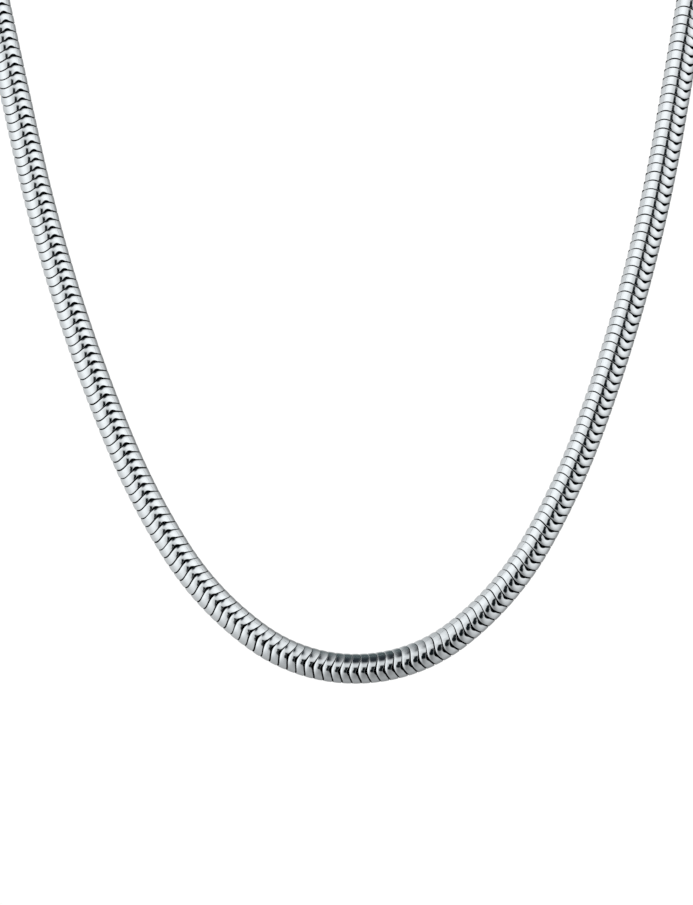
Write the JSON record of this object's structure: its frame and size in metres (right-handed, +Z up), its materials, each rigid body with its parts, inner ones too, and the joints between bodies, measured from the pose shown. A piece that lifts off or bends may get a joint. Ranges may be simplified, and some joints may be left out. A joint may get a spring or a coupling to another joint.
{
  "type": "snake chain necklace",
  "caption": "Polished steel round snake chain necklace, a closed loop of interlocking waved links that leans back round the neck to a plain barrel clasp.",
  "frame": {"origin": "the underside of the clasp, at its middle, where the necklace sits on the nape", "axes": "+Z up, -Y to the front of the wearer where the U hangs, +X to the right as the viewer sees the front"},
  "size_m": [0.123, 0.0403, 0.1538],
  "materials": {
    "chain_steel": "mirror-polished stainless steel",
    "clasp_steel": "polished stainless steel with fine turned lines"
  },
  "bodies": {
    "root": {"chain_left": "chain_steel", "chain_right": "chain_steel", "clasp": "clasp_steel"}
  },
  "joints": []
}
